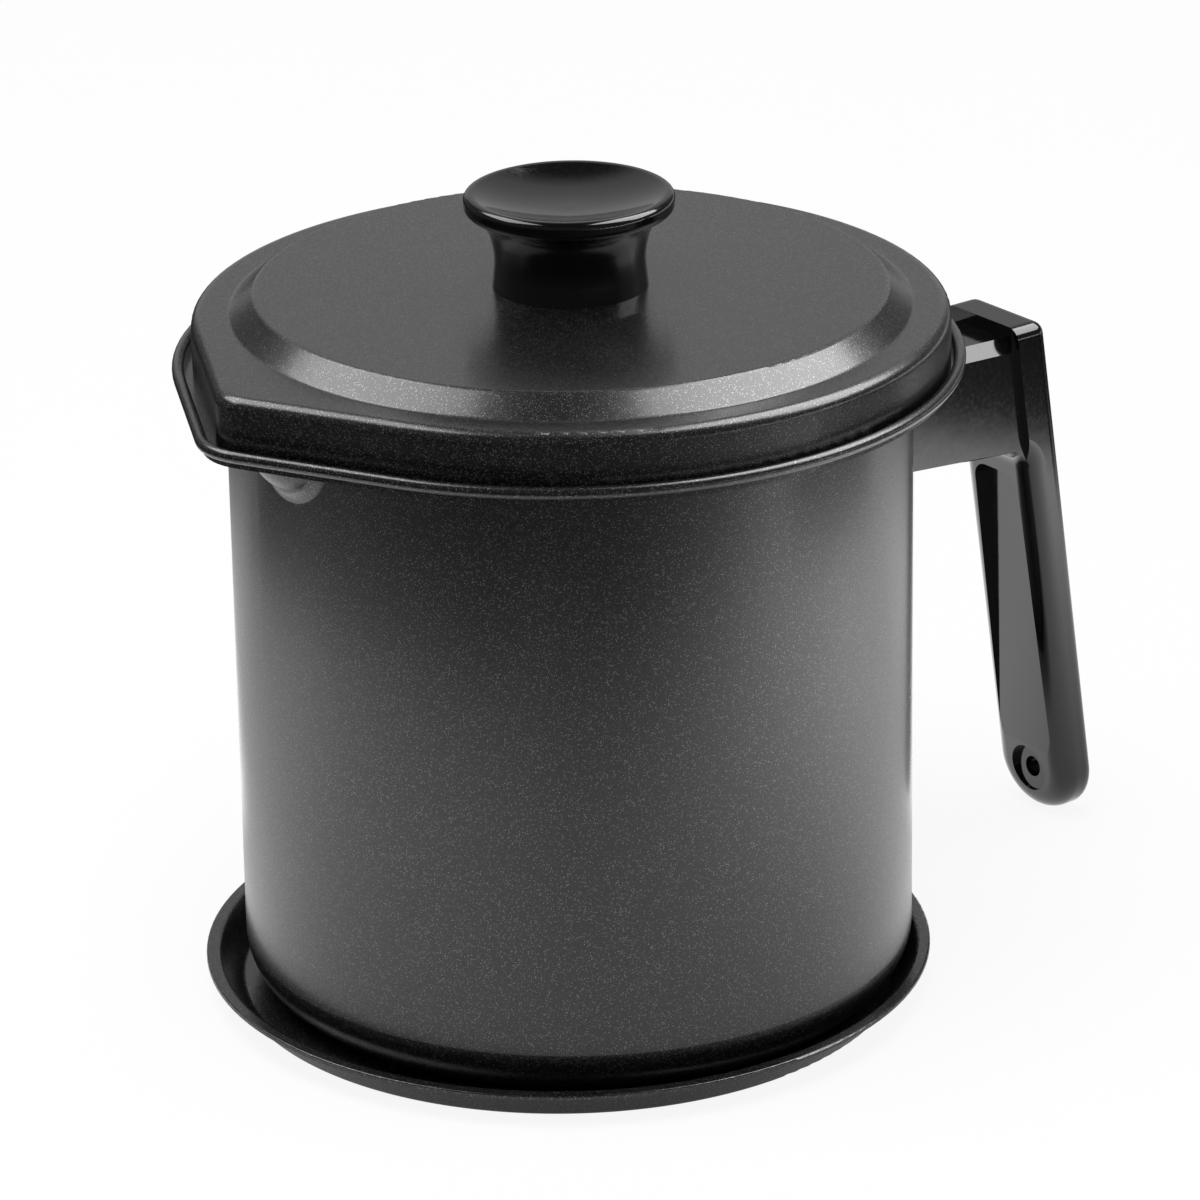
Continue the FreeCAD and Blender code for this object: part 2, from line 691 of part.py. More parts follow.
def make_handle():
    """Moulded handle: an arm out from the pot and a leaning grip with a round end."""
    body = new_body("handle")
    ridge = arm_top + cell.ridge_rise
    ridge_inner = grip_outer(ridge) - cell.ridge_gauge
    wall_side = cell.pot_radius - cell.handle_width / 4
    wall_rise = (ridge_inner - wall_side) * cell.arm_slope
    under_slope = cell.arm_slope + cell.arm_taper
    under_rise = (grip_inner(arm_bottom) - wall_side) * under_slope
    profile = new_sketch(body, "profile", "XZ_Plane")
    draw_corners(profile, [
        (wall_side, arm_bottom + under_rise),
        (grip_inner(arm_bottom), arm_bottom, cell.arm_round),
        (grip_inner(cell.grip_foot), cell.grip_foot),
        (grip_outer(cell.grip_foot), cell.grip_foot),
        (grip_outer(ridge), ridge),
        (ridge_inner, ridge),
        (ridge_inner, arm_top),
        (wall_side, arm_top + wall_rise),
    ])
    block = extrude(body, profile, cell.handle_width, both=True)
    half = cell.handle_width.value / 2
    foot = cell.grip_foot.value
    end = round_edges(body, block, "round_end", cell.handle_width / 2 - 0.02,
                      lambda point: same(abs(point.y), half) and same(point.z, foot))
    step = ridge_inner.value
    top = round_edges(body, end, "ridge_ends", cell.ridge_round, lambda point: (
        same(abs(point.y), half) and same(point.z, ridge.value)))

    def faces_pot(point):
        """Whether a point is on the outline under the arm and down the grip's inner face."""
        inner = grip_inner(as_size(point.z)).value
        return point.z < arm_middle.value and point.x < inner + cell.handle_round.value

    near = round_edges(body, top, "inner_edges", cell.grip_round, lambda point: (
        same(abs(point.y), half) and faces_pot(point) and not same(point.x, wall_side.value)))
    round_edges(body, near, "outer_edges", cell.handle_round, lambda point: (
        same(abs(point.y), half) and not faces_pot(point)
        and point.x > step + cell.ridge_gauge.value / 2))
    narrow_arm(body, wall_side, ridge)
    cut_channel(body)
    inner_face = grip_inner(cell.grip_foot)
    hole_height = cell.grip_foot + cell.hole_rise
    hole = new_sketch(body, "hang_hole", "YZ_Plane", grip_reach)
    draw_circle(hole, cell.hole_radius, ZERO, hole_height)
    extrude(body, hole, grip_reach, cut=True, both=True)
    recess = new_sketch(body, "hole_recess", "YZ_Plane",
                        grip_inner(hole_height) + cell.hole_recess_depth)
    draw_circle(recess, cell.hole_recess_radius, ZERO, hole_height)
    extrude(body, recess, inner_face - cell.pot_radius, cut=True)
    trim = new_sketch(body, "wall_trim", "XY_Plane", arm_bottom - 1)
    draw_circle(trim, cell.pot_radius)
    extrude(body, trim, cell.arm_height * 2, cut=True, back=True)
    cut_handle_fixing(body)
    return body


def narrow_arm(body, wall_side, ridge):
    """Set the arm's two sides back behind the grip's and bevel the arm's top edges."""
    arm_half = cell.handle_width / 2 - cell.arm_inset
    low = arm_bottom - cell.grip_round * 2
    high = ridge + cell.ridge_rise
    for side in (1, -1):
        name = "arm_side_left" if side > 0 else "arm_side_right"
        beside = new_sketch(body, name, "XZ_Plane", ZERO - arm_half * side)
        draw_corners(beside, [
            (wall_side / 2, low),
            (grip_outer(low) - cell.ridge_gauge, low),
            (grip_outer(high) - cell.ridge_gauge, high),
            (wall_side / 2, high),
        ])
        narrowed = extrude(body, beside, cell.handle_width, cut=True, back=side < 0)
    foot = grip_outer(ridge) - cell.ridge_gauge

    def tops_arm(point):
        """Whether a point is on one of the two long edges of the arm's top."""
        rise = (foot.value - point.x) * cell.arm_slope.value
        return same(abs(point.y), arm_half.value) and same(point.z, arm_top.value + rise)

    bevel_edges(body, narrowed, "arm_bevel", cell.arm_bevel, tops_arm)


def cut_channel(body):
    """Hollow in the grip's inner face that gets narrower and shallower downwards."""
    top = arm_bottom - cell.channel_gap
    foot = cell.channel_end
    floor_foot = grip_inner(foot)
    floor_top = grip_outer(top) - cell.channel_skin
    lean = (floor_foot - floor_top) / (top - foot)
    half_top = cell.handle_width / 2 - cell.channel_side
    half_foot = half_top + cell.channel_spread
    outline = new_sketch(body, "channel", "YZ_Plane", floor_foot + lean * foot)
    outline.AttachmentOffset = FreeCAD.Placement(Vector(), Rotation(Vector(1, 0, 0), 1))
    outline.setExpression("AttachmentOffset.Rotation.Angle", "-atan(%s)" % lean.text)
    draw_corners(outline, [
        (ZERO - half_foot, foot, cell.channel_round / 2),
        (half_foot, foot, cell.channel_round / 2),
        (half_top, top, cell.channel_round),
        (ZERO - half_top, top, cell.channel_round),
    ])
    extrude(body, outline, cell.grip_gauge * 2, cut=True)


def cut_handle_fixing(body):
    """Room in the arm for the plate, the boss, the screw and its head."""
    gap = cell.fit_gap
    seat = grip_outer(arm_middle) - cell.counterbore_depth
    room = new_sketch(body, "plate_room", "YZ_Plane", plate_face + gap)
    half_width = cell.plate_width / 2 + gap
    low = arm_middle - cell.plate_height / 2 - gap
    high = arm_middle + cell.plate_height / 2 + gap
    draw_corners(room, [
        (ZERO - half_width, low), (half_width, low),
        (half_width, high), (ZERO - half_width, high)])
    extrude(body, room, plate_face / 2, cut=True)
    socket = new_sketch(body, "boss_room", "YZ_Plane", boss_end + gap)
    draw_circle(socket, cell.boss_radius + gap, ZERO, arm_middle)
    extrude(body, socket, plate_face / 2, cut=True)
    shank = new_sketch(body, "screw_room", "YZ_Plane", seat + 1)
    draw_circle(shank, cell.screw_radius + cell.screw_gap, ZERO, arm_middle)
    extrude(body, shank, seat - plate_face, cut=True)
    bore = new_sketch(body, "counterbore", "YZ_Plane", seat)
    draw_circle(bore, cell.counterbore_radius, ZERO, arm_middle)
    extrude(body, bore, cell.counterbore_depth * 2, cut=True, back=True)


def make_handle_plate():
    """Welded saddle whose back follows the pot's wall."""
    body = new_body("handle_plate")
    face = new_sketch(body, "face", "YZ_Plane", plate_face)
    half_width = cell.plate_width / 2
    low = arm_middle - cell.plate_height / 2
    high = arm_middle + cell.plate_height / 2
    draw_corners(face, [
        (ZERO - half_width, low, cell.plate_round),
        (half_width, low, cell.plate_round),
        (half_width, high, cell.plate_round),
        (ZERO - half_width, high, cell.plate_round)])
    extrude(body, face, plate_face / 2, back=True)
    trim = new_sketch(body, "wall_trim", "XY_Plane", low - 1)
    draw_circle(trim, cell.pot_radius)
    extrude(body, trim, cell.plate_height + 2, cut=True, back=True)
    return body


def make_handle_boss():
    """Threaded boss welded on the plate."""
    body = new_body("handle_boss")
    section = new_sketch(body, "section", "YZ_Plane", plate_face)
    draw_circle(section, cell.boss_radius, ZERO, arm_middle)
    extrude(body, section, cell.boss_length)
    bore = new_sketch(body, "bore", "YZ_Plane", boss_end)
    draw_circle(bore, cell.screw_radius + cell.thread_gap, ZERO, arm_middle)
    extrude(body, bore, cell.handle_screw_grip + 1, cut=True)
    return body


def lay_along_x(body):
    """Turn a piece made along Z about the origin so that its +Z points to -X at the arm."""
    body.Placement.Rotation = Rotation(Vector(0, 1, 0), -90)
    bind(body, **{"Placement.Base.z": arm_middle})
    return body


tray = make_tray()
pot = make_pot()
lid = make_lid()
knob = make_knob()
lid_under = lid_top - cell.sheet_gauge
washer_under = lid_under - cell.washer_gauge
insert = make_ring("knob_insert", cell.screw_radius + cell.thread_gap, cell.insert_radius,
                   lid_top, cell.insert_length)
washer = make_ring("knob_washer", cell.screw_radius + cell.screw_gap, cell.washer_radius,
                   washer_under, cell.washer_gauge)
knob_screw = make_screw("knob_screw", lid_top + cell.knob_screw_grip, washer_under)
for loose in (lid, knob, insert, washer, knob_screw):
    bind(loose, **{"Placement.Base.x": cell.lid_shift})
strainer = make_strainer()
handle = make_handle()
plate = make_handle_plate()
boss = make_handle_boss()
seat = grip_outer(arm_middle) - cell.counterbore_depth
handle_screw = lay_along_x(make_screw(
    "handle_screw", ZERO - boss_end + cell.handle_screw_grip,
    ZERO - seat - cell.washer_gauge))
handle_washer = lay_along_x(make_ring(
    "handle_washer", cell.screw_radius + cell.screw_gap, cell.head_radius + cell.screw_gap,
    ZERO - seat - cell.washer_gauge, cell.washer_gauge))

pieces = [tray, pot, handle, plate, boss, handle_screw, handle_washer,
          lid, knob, insert, washer, knob_screw] + strainer
doc.recompute()

for item in doc.Objects:
    broken = [state for state in item.State if state in ("Invalid", "Error")]
    if broken:
        raise RuntimeError("%s is %s" % (item.Name, broken))
for piece in pieces:
    if piece.Shape.isNull() or not piece.Shape.isValid() or not piece.Shape.Solids:
        raise RuntimeError("%s has no valid solid" % piece.Label)

os.makedirs("parts", exist_ok=True)
for piece in pieces:
    piece.Shape.exportStep(os.path.join("parts", piece.Label + ".step"))
    box = piece.Shape.BoundBox
    print("%-20s %9.1f mm3  x %6.1f %6.1f  y %6.1f %6.1f  z %6.1f %6.1f" % (
        piece.Label, piece.Shape.Volume, box.XMin, box.XMax,
        box.YMin, box.YMax, box.ZMin, box.ZMax))
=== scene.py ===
# %% [markdown]
# # A bacon grease container
# This lesson dresses a grease keeper: a dark coated pot with a pouring spout, a lid with a
# dished knob, a tall moulded handle, a mesh strainer under the lid and a loose drip tray.
# The shapes and joints come from the engineering model. Here each part gets its finish, the
# woven strainer gets its wires, and the whole is lit and seen like a product on a pale table.

# %% Load the model
import math
import bmesh
import bpy
from mathutils import Matrix, Vector


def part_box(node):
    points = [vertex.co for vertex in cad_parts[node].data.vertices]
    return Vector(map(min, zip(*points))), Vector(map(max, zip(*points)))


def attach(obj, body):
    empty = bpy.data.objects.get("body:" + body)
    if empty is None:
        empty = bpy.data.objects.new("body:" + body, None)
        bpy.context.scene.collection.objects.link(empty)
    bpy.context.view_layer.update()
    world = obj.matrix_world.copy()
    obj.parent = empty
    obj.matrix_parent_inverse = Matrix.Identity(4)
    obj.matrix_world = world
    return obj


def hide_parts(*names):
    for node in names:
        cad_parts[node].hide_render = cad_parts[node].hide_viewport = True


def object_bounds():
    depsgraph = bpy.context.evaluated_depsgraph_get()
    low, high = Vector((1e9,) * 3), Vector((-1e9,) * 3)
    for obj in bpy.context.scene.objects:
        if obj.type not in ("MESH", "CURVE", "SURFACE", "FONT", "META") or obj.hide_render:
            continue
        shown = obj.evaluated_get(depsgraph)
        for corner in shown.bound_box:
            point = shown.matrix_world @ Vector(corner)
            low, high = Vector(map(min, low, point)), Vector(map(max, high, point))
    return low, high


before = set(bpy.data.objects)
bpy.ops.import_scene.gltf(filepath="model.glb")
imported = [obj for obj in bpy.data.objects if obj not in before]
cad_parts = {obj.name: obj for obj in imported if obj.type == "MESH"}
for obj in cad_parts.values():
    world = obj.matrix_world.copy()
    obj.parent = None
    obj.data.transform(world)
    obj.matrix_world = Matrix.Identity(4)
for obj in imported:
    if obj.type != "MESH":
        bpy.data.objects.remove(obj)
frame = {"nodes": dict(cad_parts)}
cad_low, cad_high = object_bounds()
print("nodes:", ", ".join(frame["nodes"]))

# %% [markdown]
# ## Lengths that the scene needs
# Everything is in metres. Where a length belongs to a part, it is read from that part's box,
# so the scene follows the model when the model changes.

# %% Named lengths
MM = 0.001
pot_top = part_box("pot_body")[1][2]
lid_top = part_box("lid_shell")[1][2]
tray_low, tray_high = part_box("drip_tray")
tray_middle = ((tray_low[0] + tray_high[0]) / 2, (tray_low[1] + tray_high[1]) / 2, 0.0)
tray_radius = (tray_high[0] - tray_low[0]) / 2
print("pot top %.1f mm, lid top %.1f mm" % (pot_top / MM, lid_top / MM))
print("tray radius %.1f mm" % (tray_radius / MM))

# %% [markdown]
# ## The camera
# A long lens far away gives the flat, calm perspective of a catalogue picture. The camera
# looks down a little, so the lid's top shows, and stands to the left of the handle.
# It is placed from an aim point, a distance and three angles, because those are easier to
# think about than a position and a rotation matrix. The level directions that come out of
# it, away from the camera and to the right, also place the lamps.

# %% Camera
aim_height = 73.6 * MM
aim_right = 4.9 * MM
camera_distance = 1165.7 * MM
camera_turn = math.radians(37.2)
camera_tilt = math.radians(21.85)
camera_roll = math.radians(-0.94)
sensor_width = 36.0
lens_length = 189.7
nearest_seen = 10 * MM

level = Vector((math.sin(camera_turn), math.cos(camera_turn), 0))
rightward = Vector((math.cos(camera_turn), -math.sin(camera_turn), 0))
overhead = Vector((0, 0, 1))
forward = level * math.cos(camera_tilt) - overhead * math.sin(camera_tilt)
upward = rightward.cross(forward)
rolled_right = rightward * math.cos(camera_roll) + upward * math.sin(camera_roll)
rolled_up = upward * math.cos(camera_roll) - rightward * math.sin(camera_roll)
aim_point = rightward * aim_right + overhead * aim_height

camera_data = bpy.data.cameras.new("camera")
camera_data.sensor_width = sensor_width
camera_data.lens = lens_length
camera_data.clip_start = nearest_seen
camera = bpy.data.objects.new("camera", camera_data)
axes = Matrix((rolled_right, rolled_up, -forward)).transposed().to_4x4()
camera.matrix_world = Matrix.Translation(aim_point - forward * camera_distance) @ axes
bpy.context.scene.collection.objects.link(camera)
bpy.context.scene.camera = camera
print("camera at", [round(value, 3) for value in camera.matrix_world.translation])

# %% [markdown]
# ## A shorthand for shaders
# A finish is a small calculation: noise, plus flecks, times a strength. Nodes show that as
# boxes and wires, which is hard to read in a script. So one class wraps a node's output and
# lets it be added and multiplied like a number, and another makes the nodes.

# %% One value of a shader
class Link:
    """One output of a shader node, which can be used in sums."""

    def __init__(self, shader, socket):
        self.shader = shader
        self.socket = socket

    def __add__(self, other):
        return self.shader.maths("ADD", self, other)

    def __sub__(self, other):
        return self.shader.maths("SUBTRACT", self, other)

    def __rsub__(self, other):
        return self.shader.maths("SUBTRACT", other, self)

    def __mul__(self, other):
        return self.shader.maths("MULTIPLY", self, other)

    __radd__ = __add__
    __rmul__ = __mul__

    def size(self):
        """The value without its sign."""
        return self.shader.maths("ABSOLUTE", self)

    def root(self):
        """The square root."""
        return self.shader.maths("SQRT", self)

    def most(self, other):
        """The larger of two values."""
        return self.shader.maths("MAXIMUM", self, other)

    def fade(self, start, end):
        """Zero up to start, one from end on, and smooth between."""
        settings = {"interpolation_type": "SMOOTHSTEP"}
        inputs = {"Value": self, "From Min": start, "From Max": end}
        return self.shader.node("ShaderNodeMapRange", settings, inputs)

    def along(self, direction):
        """How far a vector reaches in this direction."""
        return self.shader.vector_maths("DOT_PRODUCT", self, direction)

    def distance(self, point):
        """How far a place is from this point."""
        return self.shader.vector_maths("DISTANCE", self, point)


print("values can be added and multiplied")


# %% The nodes of a shader
def grey(value, tint=1.0):
    """A neutral colour, a little cooler when tint is above one."""
    return (value, value, value * tint, 1.0)


class Shader:
    """The nodes of one material or of the world."""

    def __init__(self, owner):
        owner.use_nodes = True
        self.owner = owner
        self.tree = owner.node_tree
        self.tree.nodes.clear()

    def node(self, kind, settings=None, inputs=None, out=0):
        """A node with its settings first, then its inputs as values or links."""
        made = self.tree.nodes.new(kind)
        for name, value in (settings or {}).items():
            setattr(made, name, value)
        for name, value in (inputs or {}).items():
            if isinstance(value, Link):
                self.tree.links.new(value.socket, made.inputs[name])
            else:
                made.inputs[name].default_value = value
        return Link(self, made.outputs[out]) if made.outputs else None

    def maths(self, operation, *values):
        """A Math node on these values."""
        return self.node("ShaderNodeMath", {"operation": operation}, dict(enumerate(values)))

    def vector_maths(self, operation, vector, other):
        """The number that a Vector Math node makes of two vectors."""
        inputs = {0: vector, 1: tuple(other)}
        return self.node("ShaderNodeVectorMath", {"operation": operation}, inputs, "Value")

    def ray(self, kind):
        """One for light rays of this kind, and zero for all others."""
        return self.node("ShaderNodeLightPath", out="Is %s Ray" % kind)


print("nodes can be made")

# %% [markdown]
# ## What every finish can do
# Noise and cells are random values on an upright grid. A wall that lies along the rows of
# that grid shows them as stripes, and the pot's wall does so beside the spout. Turning the
# grid aslant in all three directions takes the stripes away. Only scratches in metal are
# made on the upright grid, because stripes are what they need.

# %% Finish helpers
grid_slant = (0.6, 0.4, 0.3)


class Finish(Shader):
    """A material made of nodes."""

    def __init__(self, name):
        super().__init__(bpy.data.materials.new(name))
        self.place = self.node("ShaderNodeTexCoord", out="Object")
        inputs = {"Vector": self.place, "Rotation": grid_slant}
        self.aslant = self.node("ShaderNodeMapping", None, inputs)

    def noise(self, size, detail=2.0, rough=0.5, place=None):
        """Soft random clouds whose lumps are about this many metres across."""
        inputs = {"Vector": place or self.aslant, "Scale": 1 / size, "Detail": detail,
                  "Roughness": rough}
        return self.node("ShaderNodeTexNoise", None, inputs, "Fac")

    def cells(self, size, out="Distance"):
        """Random cells about this many metres across."""
        inputs = {"Vector": self.aslant, "Scale": 1 / size}
        return self.node("ShaderNodeTexVoronoi", None, inputs, out)

    def blend(self, amount, first, second):
        """Mix two colours."""
        inputs = {"Factor": amount, 6: first, 7: second}
        return self.node("ShaderNodeMix", {"data_type": "RGBA"}, inputs, 2)

    def bump(self, height, depth, strength=1.0):
        """A normal raised by a height between zero and one, this many metres deep."""
        inputs = {"Height": height, "Distance": depth, "Strength": strength}
        return self.node("ShaderNodeBump", None, inputs, "Normal")

    def surface(self, **inputs):
        """The final surface, with socket names written with underscores."""
        named = {name.replace("_", " "): value for name, value in inputs.items()}
        shader = self.node("ShaderNodeBsdfPrincipled", None, named)
        self.node("ShaderNodeOutputMaterial", None, {"Surface": shader})
        return self.owner


print("grid turned by", [round(math.degrees(angle)) for angle in grid_slant], "degrees")

# %% [markdown]
# ## The dark non-stick coating
# The pot, lid and tray are sprayed with a nearly black coating full of tiny bright flakes.
# From afar it looks like satin graphite, but that grey is all reflection: the colour below
# it is very dark. Near by, single flakes glint, which a plain grey with some roughness
# misses. So cells smaller than a quarter of a millimetre each draw a number. A good half of
# them stay dark, and the rest shine in their middle, more the higher their number is. A
# thin clear skin over a rougher ground gives the two reflections that such a coating has, a
# sharp faint one inside a wide soft one.

# %% Charcoal coating
def make_coating():
    """Satin charcoal with fine bright flakes under a thin clear skin."""
    flake_size = 0.23 * MM
    flake_edge = (0.15, 0.5)
    flake_luck = (0.55, 0.99)
    flake_colour = grey(0.32)
    grain_size = 0.28 * MM
    grain_depth = 0.022 * MM
    cloud_size = 18 * MM
    dark_ground = grey(0.0025)
    pale_ground = grey(0.006, 1.03)

    finish = Finish("charcoal_coating")
    flake = finish.cells(flake_size)
    draw = finish.cells(flake_size, "Color")
    number = finish.node("ShaderNodeSeparateColor", None, {"Color": draw})
    glint = number.fade(*flake_luck) * (1 - flake.fade(*flake_edge))
    grain = finish.noise(grain_size, 2.0, 0.6)
    cloud = finish.noise(cloud_size)
    ground = finish.blend(grain.fade(0.3, 0.75), dark_ground, pale_ground)
    return finish.surface(
        Base_Color=finish.blend(glint * 0.9, ground, flake_colour),
        Metallic=glint * 0.8,
        Roughness=0.21 + grain * 0.10 + cloud * 0.05,
        Normal=finish.bump(grain, grain_depth),
        Specular_IOR_Level=0.45, Coat_Weight=0.35, Coat_Roughness=0.16, Coat_IOR=1.5)


coating = make_coating()
print("made", coating.name)

# %% [markdown]
# ## Glossy black moulding
# The knob and the handle are moulded in a hard black plastic. Its shine comes out of the
# mould: almost a mirror, with a very faint waviness and a few dull, dusty patches. The bump
# is a few hundredths of a millimetre over several millimetres, just enough to make the
# reflected lamps look soft at their edges.

# %% Black moulding
def make_moulding():
    """Hard black plastic with a faint waviness."""
    wave_size = 7 * MM
    wave_depth = 0.04 * MM
    dust_size = 0.8 * MM
    clean_colour = grey(0.003)
    dusty_colour = grey(0.006)

    finish = Finish("black_moulding")
    wave = finish.noise(wave_size)
    dust = finish.noise(dust_size, 4.0, 0.6)
    return finish.surface(
        Base_Color=finish.blend(dust.fade(0.45, 0.75), clean_colour, dusty_colour),
        Roughness=0.09 + dust.fade(0.35, 0.8) * 0.06,
        Normal=finish.bump(wave + dust * 0.04, wave_depth, 0.5))


moulding = make_moulding()
print("made", moulding.name)

# %% [markdown]
# ## Bright steel and brass
# The strainer, the screws and the welded handle fittings are bare metal. Rolled and turned
# metal has long fine scratches. Noise gives them when its grid is squeezed upright, which
# leaves level lines that run round the strainer's ring. Brass gets the same treatment in a
# warmer colour.

# %% Metals
def make_metal(name, dark, bright, roughness):
    """Bare metal with fine level scratches."""
    scratch_width = 0.5 * MM
    scratch_depth = 0.004 * MM
    squeeze = (1.0, 1.0, 9.0)
    patch_size = 6 * MM

    finish = Finish(name)
    inputs = {"Vector": finish.place, "Scale": squeeze}
    squeezed = finish.node("ShaderNodeMapping", None, inputs)
    line = finish.noise(scratch_width, 3.0, place=squeezed)
    patch = finish.noise(patch_size)
    return finish.surface(
        Base_Color=finish.blend(line * 0.6 + patch * 0.4, dark, bright),
        Metallic=1.0,
        Roughness=roughness + line * 0.12 + patch * 0.05,
        Normal=finish.bump(line, scratch_depth, 0.4))


steel = make_metal("bright_steel", grey(0.50), grey(0.68), 0.20)
wire_steel = make_metal("strainer_wire", grey(0.42), grey(0.62), 0.26)
brass = make_metal("turned_brass", (0.50, 0.36, 0.15, 1), (0.72, 0.54, 0.26, 1), 0.24)
print("made", steel.name, wire_steel.name, brass.name)

# %% [markdown]
# ## Dress the parts
# Every part of the model keeps its own mesh and only gets a material, so its size and place
# cannot drift. The names say which finish goes where.

# %% Give each part its finish
finish_of = {
    coating: ["drip_tray", "pot_body", "lid_shell"],
    moulding: ["handle", "knob"],
    steel: ["handle_plate", "handle_boss", "handle_screw", "handle_washer", "knob_washer",
            "knob_screw", "strainer_ring", "strainer_band", "strainer_loop_left",
            "strainer_loop_right"],
    wire_steel: ["strainer_mesh"],
    brass: ["knob_insert"],
}
for material, names in finish_of.items():
    for name in names:
        mesh = frame["nodes"][name].data
        mesh.materials.clear()
        mesh.materials.append(material)
print("dressed", sum(len(names) for names in finish_of.values()), "parts")

# %% [markdown]
# ## The strainer's woven wire
# The bowl of the strainer is a flat square weave that a press has drawn into shape: its
# floor keeps square meshes, and up the wall they are squeezed narrower. A shell with a
# pattern on it would look like a cup. So a flat grid is cut to a round blank, its points are
# drawn down into the bowl the way the press does it, and each edge then becomes a wire.
# The press bends the blank along its radius: flat over the floor, round the foot, up the
# cone and then upright. A point keeps its distance from the middle along that path.

# %% The shape that the press gives
mesh_low, mesh_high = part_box("strainer_mesh")
wire_width = 0.42 * MM
weave_pitch = 1.7 * MM
weave_crimp = 0.10 * MM
bowl_mouth = mesh_high[0] - wire_width / 2
bowl_foot = 42.0 * MM
foot_round = 16.0 * MM
wall_height = 8.4 * MM
cone_height = mesh_high[2] - mesh_low[2] - wall_height
cone_lean = math.atan2(cone_height, bowl_mouth - bowl_foot)
foot_trim = foot_round * math.tan(cone_lean / 2)
flat_run = bowl_foot - foot_trim
round_run = foot_round * cone_lean
cone_run = math.hypot(cone_height, bowl_mouth - bowl_foot) - foot_trim
blank_radius = flat_run + round_run + cone_run + wall_height - wire_width


def pressed(run):
    """Radius and height in the bowl of a point this far from the blank's middle."""
    turned = min(max(run - flat_run, 0) / foot_round, cone_lean)
    climbed = min(max(run - flat_run - round_run, 0), cone_run)
    upright = max(run - flat_run - round_run - cone_run, 0)
    radius = min(run, flat_run) + foot_round * math.sin(turned)
    radius += climbed * math.cos(cone_lean)
    height = foot_round * (1 - math.cos(turned)) + climbed * math.sin(cone_lean) + upright
    return radius, height


print("blank %.1f mm, bowl lean %.0f degrees" % (blank_radius / MM, math.degrees(cone_lean)))


# %% Weave and press the bowl
def add_mesh(name, shape, material):
    """An object of this shape and material in the scene."""
    mesh = bpy.data.meshes.new(name)
    shape.to_mesh(mesh)
    shape.free()
    mesh.materials.append(material)
    piece = bpy.data.objects.new(name, mesh)
    bpy.context.scene.collection.objects.link(piece)
    return piece


def cut_blank():
    """A flat round blank whose edges are the wires of a square weave."""
    weave = bmesh.new()
    half_count = math.ceil(blank_radius / weave_pitch)
    bmesh.ops.create_grid(weave, x_segments=2 * half_count, y_segments=2 * half_count,
                          size=half_count * weave_pitch)
    waste = [point for point in weave.verts if point.co.length > blank_radius]
    bmesh.ops.delete(weave, geom=waste, context="VERTS")
    return weave


def press(weave):
    """Draw the blank into the bowl. Every other crossing stands up, as in a weave."""
    for point in weave.verts:
        row = round(point.co.x / weave_pitch) + round(point.co.y / weave_pitch)
        run = point.co.length
        radius, height = pressed(run)
        if run > 0:
            point.co *= radius / run
        point.co.z = mesh_low[2] + wire_width / 2 + height
        point.co += overhead * weave_crimp * (row % 2)


def make_weave():
    """The strainer's bowl of woven wire."""
    weave = cut_blank()
    press(weave)
    bmesh.ops.wireframe(weave, faces=weave.faces, thickness=wire_width, use_replace=True,
                        use_boundary=True)
    bmesh.ops.recalc_face_normals(weave, faces=weave.faces)
    piece = add_mesh("strainer_weave", weave, wire_steel)
    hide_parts("strainer_mesh")
    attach(piece, "strainer")
    return piece


bowl = make_weave()
print("woven bowl of", len(bowl.data.polygons), "faces")

# %% [markdown]
# ## The table's light in reflections
# A dark coated pot is drawn by what it reflects, far more than by its own colour, and its
# wall reflects the table all round it. An evenly bright table gives a flat grey wall. So in
# reflections the table has a pool of light, which lies close round the pot and lets the
# foot of the wall catch more light than its middle. The pool grows stronger to the sides,
# so both sides of the wall are brighter than its front. It ends in one edge on the left and
# one on the right, where what is reflected turns dark, and there is more light behind the
# pot for the grip. Close to the tray it is dimmer, because the tray takes the light from
# the table there. All of it depends only on the place on the table. Each pair of lengths
# says where an edge starts and where it ends.

# %% Pool of light
def pool_of_light(side, back):
    """One round the pot and almost nothing far away, wider to the sides than to the back."""
    edge = (190 * MM, 340 * MM)
    side_squash = 0.56
    darkening = 0.97
    reach = (back * back + side * side * side_squash).root()
    return 1 - reach.fade(*edge) * darkening


def gain_to_sides(side):
    """More light further to the left, and much more further to the right."""
    right_gain = 32
    left_gain = 2.6
    to_right = side.most(0.0)
    to_left = (0 - side).most(0.0)
    return 1.0 + to_right * to_right * right_gain + to_left * left_gain


def left_end(side, back, from_middle):
    """The part of the light that is gone far to the left of the pot, but not behind it."""
    on_left = (50 * MM, 120 * MM)
    edge = (240 * MM, 295 * MM)
    behind = (130 * MM, 190 * MM)
    darkening = 0.86
    beyond = (0 - side).fade(*on_left) * from_middle.fade(*edge)
    return beyond * (1 - back.fade(*behind)) * darkening


def right_end(side, back):
    """The part of the light that is gone far to the right, but not before or behind it."""
    edge = (285 * MM, 325 * MM)
    beside = (90 * MM, 150 * MM)
    darkening = 0.95
    return side.fade(*edge) * (1 - back.size().fade(*beside)) * darkening


def light_behind(side, back):
    """More light straight behind the pot."""
    edge = (50 * MM, 90 * MM)
    half_width = (70 * MM, 120 * MM)
    gain = 1.4
    return back.fade(*edge) * (1 - side.size().fade(*half_width)) * gain


def tray_shade(place):
    """Dim close to the tray's rim, and one further out."""
    edge = (-2 * MM, 18 * MM)
    dimmest = 0.3
    from_rim = place.distance(tray_middle) - tray_radius
    return dimmest + from_rim.fade(*edge) * (1 - dimmest)


